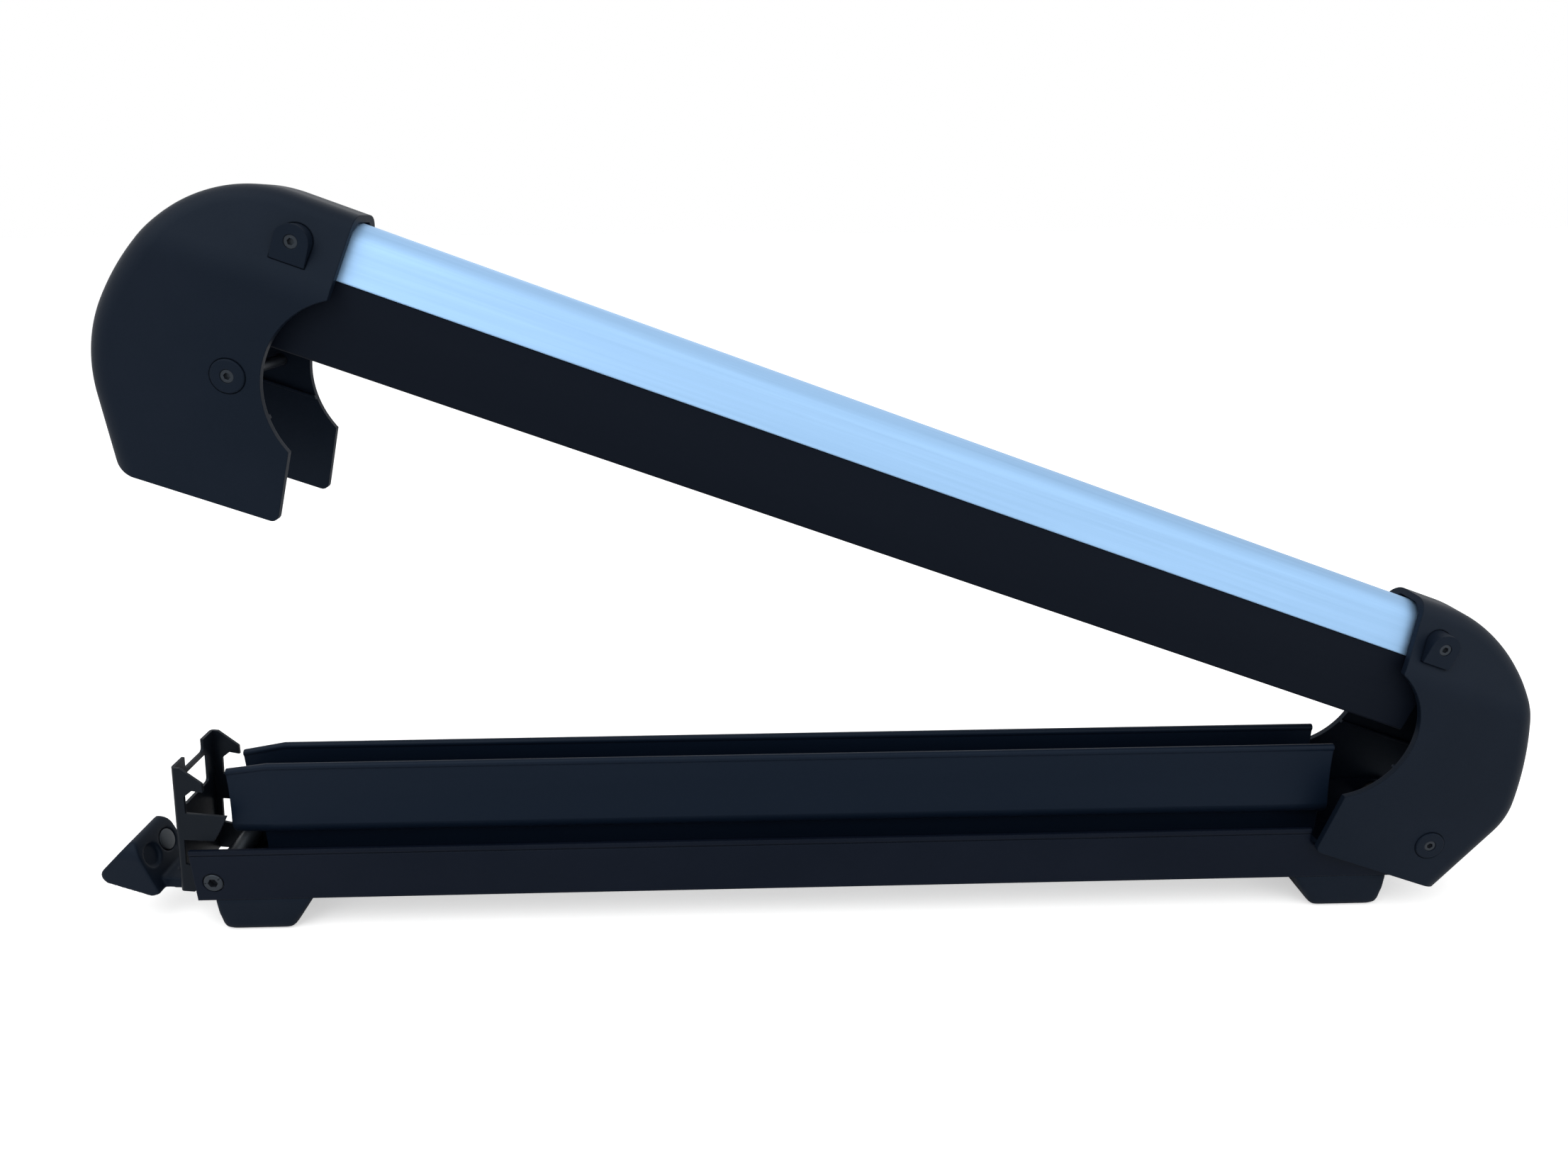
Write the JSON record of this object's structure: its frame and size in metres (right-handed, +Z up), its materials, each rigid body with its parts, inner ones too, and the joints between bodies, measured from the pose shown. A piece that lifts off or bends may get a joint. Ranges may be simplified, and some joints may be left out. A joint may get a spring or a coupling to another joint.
{
  "type": "roof carrier for skis and snowboards",
  "caption": "Low crossbar with a rubber profile, and a hinged clamping arm in aluminium and rubber that a sprung latch plate holds shut over boards laid between them.",
  "frame": {"origin": "On the soles of the two feet, midway between their bolt holes", "axes": "+X along the rail from the latch end to the hinge end, +Y across the rail away from the side with the discs and arch blocks, +Z up from the roof bar"},
  "size_m": [0.6972, 0.0592, 0.3451],
  "materials": {
    "rail_coat": "satin black powder coat on pressed steel",
    "latch_coat": "satin black coat on sheet steel",
    "moulded_black": "fine-grained black moulding with a soft sheen",
    "profile_rubber": "matt black extruded rubber",
    "anodised_aluminium": "brushed and anodised, faint blue-grey",
    "dark_bolt": "black oxide",
    "zinc_steel": "zinc plated",
    "bush_plastic": "plain"
  },
  "bodies": {
    "base": {"base_rail": "rail_coat", "lower_rubber_profile": "profile_rubber", "latch_end_foot": "moulded_black", "hinge_end_foot": "moulded_black", "foot_sleeves": "zinc_steel", "foot_screws": "zinc_steel", "hinge_bush": "bush_plastic", "latch_pivot_bush": "zinc_steel", "latch_pivot_bolt": "dark_bolt", "latch_pivot_nut": "dark_bolt", "latch_pivot_washers": "bush_plastic"},
    "arm": {"arm_profile": "anodised_aluminium", "arm_rubber_profile": "profile_rubber", "latch_end_insert": "moulded_black", "hinge_end_insert": "moulded_black", "latch_cap": "moulded_black", "hinge_cap": "moulded_black", "hinge_pin_barrel": "dark_bolt", "hinge_pin_disc": "dark_bolt", "hinge_pin_screw": "dark_bolt", "latch_pin_barrel": "dark_bolt", "latch_pin_disc": "dark_bolt", "latch_pin_screw": "dark_bolt", "latch_arch_barrel": "dark_bolt", "latch_arch_block": "dark_bolt", "latch_arch_screw": "dark_bolt", "hinge_arch_barrel": "dark_bolt", "hinge_arch_block": "dark_bolt", "hinge_arch_screw": "dark_bolt"},
    "latch": {"latch_plate": "latch_coat", "release_knob": "moulded_black", "knob_plug": "moulded_black", "knob_rivets": "zinc_steel"}
  },
  "joints": [
    {"name": "arm_hinge", "type": "hinge", "parent": "base", "child": "arm", "pos_m": [0.3055, 0, 0.0375], "axis": [0, 1, 0], "range_deg": [-20.1, 55]},
    {"name": "latch", "type": "hinge", "parent": "base", "child": "latch", "pos_m": [-0.2891, 0, 0.0279], "axis": [0, 1, 0], "range_deg": [0, 9]}
  ]
}
